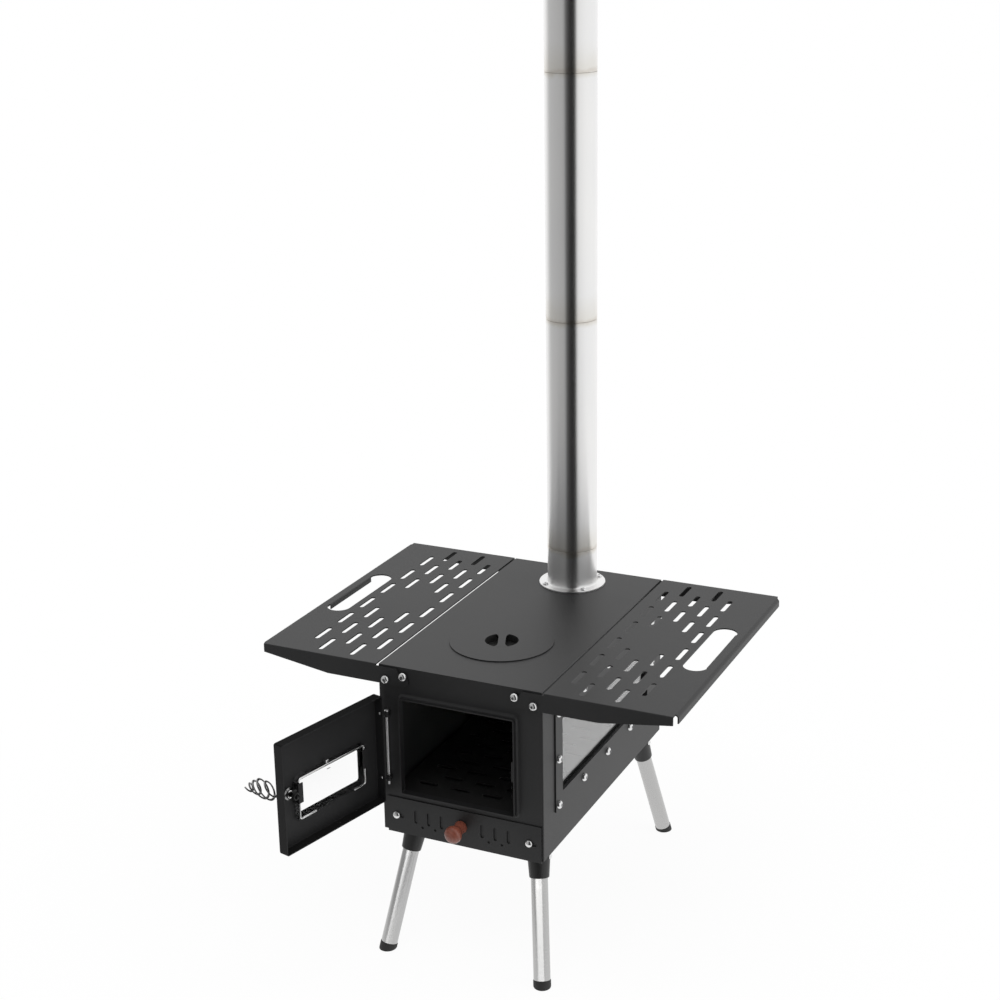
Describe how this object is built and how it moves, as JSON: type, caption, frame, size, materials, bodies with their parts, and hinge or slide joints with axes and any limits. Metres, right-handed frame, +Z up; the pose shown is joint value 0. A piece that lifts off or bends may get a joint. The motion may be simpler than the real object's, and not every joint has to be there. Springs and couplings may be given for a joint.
{
  "type": "portable wood stove",
  "caption": "Folded-steel tent stove on plug-in splayed legs, with a windowed door, a side window, hook-on slotted shelves, sliding air inlet, cooking lid and push-fit flue pipe.",
  "frame": {"origin": "on the floor under the middle of the firebox", "axes": "+X to the stove's right seen from the door, -Y out of the door, +Z up"},
  "size_m": [0.4976, 0.5583, 1.2455],
  "materials": {
    "black_coat": "satin powder coat",
    "pipe_steel": "satin",
    "fastener_steel": "bright",
    "stove_glass": "clear",
    "knob_wood": "oiled",
    "foot_rubber": "matt",
    "glass_seal": "woven glass fibre"
  },
  "bodies": {
    "stove": {"top_plate": "black_coat", "side_panel_left": "black_coat", "side_panel_right": "black_coat", "bottom_plate": "black_coat", "front_panel": "black_coat", "back_panel": "black_coat", "grate": "black_coat", "body_knuckles": "black_coat", "latch_strike": "black_coat", "window_frame": "black_coat", "window_retainer": "black_coat", "leg_socket_front_left": "black_coat", "leg_socket_front_right": "black_coat", "leg_socket_back_left": "black_coat", "leg_socket_back_right": "black_coat", "flue_flange": "pipe_steel", "flue_collar": "pipe_steel", "flange_screws": "fastener_steel", "shelf_pivot_bolts": "fastener_steel", "shelf_stop_bolts": "fastener_steel", "shelf_bolt_nuts": "fastener_steel", "hinge_pin": "fastener_steel", "slider_screws": "fastener_steel", "slider_nuts": "fastener_steel", "window_bolts": "fastener_steel", "window_nuts": "fastener_steel", "socket_screws": "fastener_steel", "window_pane": "stove_glass", "window_gasket": "glass_seal"},
    "door": {"door_pan": "black_coat", "door_pane": "stove_glass", "pane_wire": "fastener_steel", "pane_clips": "black_coat", "door_knuckles": "black_coat"},
    "latch": {"latch_shaft": "fastener_steel", "latch_cam": "black_coat", "latch_nut": "black_coat", "coil_handle": "fastener_steel"},
    "slider": {"air_slider": "black_coat", "knob": "knob_wood", "knob_screw": "fastener_steel"},
    "lid": {"lid": "black_coat"},
    "shelf_left": {"shelf_left": "black_coat"},
    "shelf_right": {"shelf_right": "black_coat"},
    "pipe_lower": {"flue_pipe_lower": "pipe_steel"},
    "pipe_middle": {"flue_pipe_middle": "pipe_steel"},
    "pipe_upper": {"flue_pipe_upper": "pipe_steel"},
    "leg_front_left": {"leg_front_left": "pipe_steel", "foot_front_left": "foot_rubber"},
    "leg_front_right": {"leg_front_right": "pipe_steel", "foot_front_right": "foot_rubber"},
    "leg_back_left": {"leg_back_left": "pipe_steel", "foot_back_left": "foot_rubber"},
    "leg_back_right": {"leg_back_right": "pipe_steel", "foot_back_right": "foot_rubber"}
  },
  "joints": [
    {"name": "door_swing", "type": "hinge", "parent": "stove", "child": "door", "pos_m": [-0.088, -0.1841, 0.26], "axis": [0, 0, -1], "range_deg": [-103.3, 50]},
    {"name": "latch_turn", "type": "hinge", "parent": "door", "child": "latch", "pos_m": [-0.13204, -0.32474, 0.25825], "axis": [0.9732, -0.23, 0], "range_deg": [0, 90]},
    {"name": "air_slide", "type": "slide", "parent": "stove", "child": "slider", "axis": [1, 0, 0], "range_m": [-0.007, 0.003]},
    {"name": "lid_lift", "type": "slide", "parent": "stove", "child": "lid", "axis": [0, 0, 1], "range_m": [0, 0.08]},
    {"name": "shelf_left_tilt", "type": "hinge", "parent": "stove", "child": "shelf_left", "pos_m": [-0.089, 0, 0.3383], "axis": [0, 1, 0], "range_deg": [0, 20]},
    {"name": "shelf_right_tilt", "type": "hinge", "parent": "stove", "child": "shelf_right", "pos_m": [0.089, 0, 0.3383], "axis": [0, -1, 0], "range_deg": [0, 20]},
    {"name": "pipe_lower_lift", "type": "slide", "parent": "stove", "child": "pipe_lower", "axis": [0, 0, 1], "range_m": [0, 0.06]},
    {"name": "pipe_middle_lift", "type": "slide", "parent": "pipe_lower", "child": "pipe_middle", "axis": [0, 0, 1], "range_m": [0, 0.06]},
    {"name": "pipe_upper_lift", "type": "slide", "parent": "pipe_middle", "child": "pipe_upper", "axis": [0, 0, 1], "range_m": [0, 0.06]},
    {"name": "leg_front_left_pull", "type": "slide", "parent": "stove", "child": "leg_front_left", "axis": [-0.1406, -0.2713, -0.9522], "range_m": [0, 0.05]},
    {"name": "leg_front_right_pull", "type": "slide", "parent": "stove", "child": "leg_front_right", "axis": [0.1406, -0.2713, -0.9522], "range_m": [0, 0.05]},
    {"name": "leg_back_left_pull", "type": "slide", "parent": "stove", "child": "leg_back_left", "axis": [-0.1406, 0.2713, -0.9522], "range_m": [0, 0.05]},
    {"name": "leg_back_right_pull", "type": "slide", "parent": "stove", "child": "leg_back_right", "axis": [0.1406, 0.2713, -0.9522], "range_m": [0, 0.05]}
  ]
}
